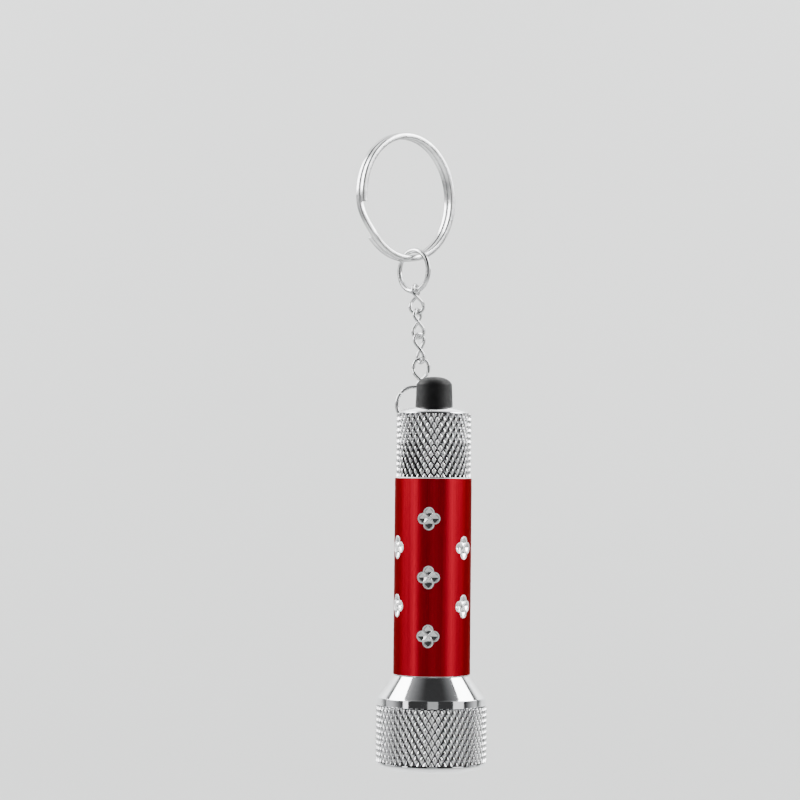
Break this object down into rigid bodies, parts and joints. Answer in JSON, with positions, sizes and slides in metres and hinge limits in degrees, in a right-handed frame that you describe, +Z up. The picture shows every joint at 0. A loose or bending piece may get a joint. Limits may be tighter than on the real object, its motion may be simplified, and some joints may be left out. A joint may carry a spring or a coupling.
{
  "type": "keychain flashlight",
  "caption": "Slim pocket torch with a knurled head and tail cap, a red barrel with cut motifs, a rubber tail button, a twisted chain and a split ring.",
  "frame": {"origin": "the split ring's hanging point: the inner top of its loop", "axes": "+Z up along the hanging torch, tail and rings up, lens down; +X to the right and +Y away when the longest motif column faces the viewer"},
  "size_m": [0.0242, 0.0221, 0.1138],
  "materials": {
    "spring_steel": "bright nickel-plated wire",
    "chain_steel": "bright plated wire",
    "knurled_chrome": "bright plated, diamond knurled",
    "polished_chrome": "bright plated, smooth",
    "red_anodised": "satin anodised red over turned aluminium",
    "button_rubber": "matte black rubber",
    "seal_rubber": "black nitrile",
    "clear_lens": "clear polished acrylic",
    "clear_epoxy": "water-clear moulded epoxy",
    "reflector_silver": "vacuum-metallised plastic",
    "board_green": "solder mask over glass-epoxy laminate",
    "resistor_body": "lacquered ceramic",
    "tinned_leads": "tinned wire",
    "contact_brass": "stamped brass",
    "contact_spring": "plated spring wire",
    "switch_plastic": "black moulded plastic",
    "plunger_plastic": "white acetal",
    "cell_steel": "nickel-plated can",
    "sleeve_card": "thin rolled insulating sleeve",
    "retainer_metal": "turned aluminium"
  },
  "bodies": {
    "key_ring": {"split_ring": "spring_steel"},
    "jump_ring": {"jump_ring": "chain_steel"},
    "chain_link_1": {"chain_link_1": "chain_steel"},
    "chain_link_2": {"chain_link_2": "chain_steel"},
    "chain_link_3": {"chain_link_3": "chain_steel"},
    "chain_link_4": {"chain_link_4": "chain_steel"},
    "cap_ring": {"cap_ring": "chain_steel"},
    "tail": {"tail_cap": "knurled_chrome", "switch_cover": "switch_plastic", "switch_housing": "switch_plastic", "fixed_contact": "contact_brass", "contact_rivet": "contact_brass", "switch_retainer": "retainer_metal", "negative_spring": "contact_spring"},
    "button": {"push_button": "button_rubber", "switch_plunger": "plunger_plastic", "moving_contact": "contact_brass", "switch_spring": "contact_spring"},
    "tail_seal": {"tail_oring": "seal_rubber"},
    "barrel": {"barrel": "red_anodised", "battery_sleeve": "sleeve_card", "battery_1": "cell_steel", "battery_2": "cell_steel", "battery_3": "cell_steel", "battery_4": "cell_steel"},
    "head_seal": {"head_oring": "seal_rubber"},
    "head": {"head_housing": "polished_chrome", "head_ring": "knurled_chrome", "front_ring": "polished_chrome", "lens": "clear_lens", "lens_gasket": "seal_rubber", "reflector": "reflector_silver", "led_board": "board_green", "led_leads": "tinned_leads", "resistor": "resistor_body", "positive_spring": "contact_spring", "led_1": "clear_epoxy", "led_2": "clear_epoxy", "led_3": "clear_epoxy", "led_4": "clear_epoxy", "led_5": "clear_epoxy"}
  },
  "joints": [
    {"name": "jump_ring_swing", "type": "hinge", "parent": "key_ring", "child": "jump_ring", "pos_m": [0.00122, 0.00118, -0.02142], "axis": [0.7193, 0.6947, 0], "range_deg": [-28, 28]},
    {"name": "chain_link_1_swing", "type": "hinge", "parent": "jump_ring", "child": "chain_link_1", "pos_m": [0.00174, 0.00118, -0.02735], "axis": [0.6947, -0.7193, 0], "range_deg": [-30, 50]},
    {"name": "chain_link_2_swing", "type": "hinge", "parent": "chain_link_1", "child": "chain_link_2", "pos_m": [0.00215, 0.00118, -0.03135], "axis": [-0.9848, 0.1736, 0], "range_deg": [-50, 50]},
    {"name": "chain_link_3_swing", "type": "hinge", "parent": "chain_link_2", "child": "chain_link_3", "pos_m": [0.00246, 0.00118, -0.03577], "axis": [0.8829, -0.4695, 0], "range_deg": [-50, 50]},
    {"name": "chain_link_4_swing", "type": "hinge", "parent": "chain_link_3", "child": "chain_link_4", "pos_m": [0.00296, 0.00118, -0.04028], "axis": [-0.5, 0.866, 0], "range_deg": [-50, 50]},
    {"name": "cap_ring_swing", "type": "hinge", "parent": "chain_link_4", "child": "cap_ring", "pos_m": [0.00284, 0.00118, -0.04556], "axis": [0.342, -0.9397, 0], "range_deg": [-50, 50]},
    {"name": "torch_swing", "type": "hinge", "parent": "cap_ring", "child": "tail", "pos_m": [0.00309, 0.00118, -0.05028], "axis": [-0.8829, 0, -0.4695], "range_deg": [-70, 4]},
    {"name": "button_press", "type": "slide", "parent": "tail", "child": "button", "axis": [0, 0, -1], "range_m": [0, 0.0015], "stiffness_N_per_m": 1600, "springref_m": -0.0004, "deforming": ["switch_spring"]},
    {"name": "tail_thread_turn", "type": "hinge", "parent": "tail", "child": "tail_seal", "pos_m": [0.00529, -0.00352, -0.06089], "axis": [0, 0, -1], "range_deg": [0, 1800.1]},
    {"name": "tail_thread_travel", "type": "slide", "parent": "tail_seal", "child": "barrel", "axis": [0, 0, -1], "range_m": [0, 0.00375]},
    {"name": "head_thread_travel", "type": "slide", "parent": "barrel", "child": "head_seal", "axis": [0, 0, -1], "range_m": [0, 0.00375]},
    {"name": "head_thread_turn", "type": "hinge", "parent": "head_seal", "child": "head", "pos_m": [0.00529, -0.00352, -0.09609], "axis": [0, 0, -1], "range_deg": [0, 1800.1]}
  ],
  "couplings": [
    {"joint": "tail_thread_turn", "follows": "tail_thread_travel", "rad_per_m": 8377.6},
    {"joint": "head_thread_turn", "follows": "head_thread_travel", "rad_per_m": 8377.6}
  ]
}
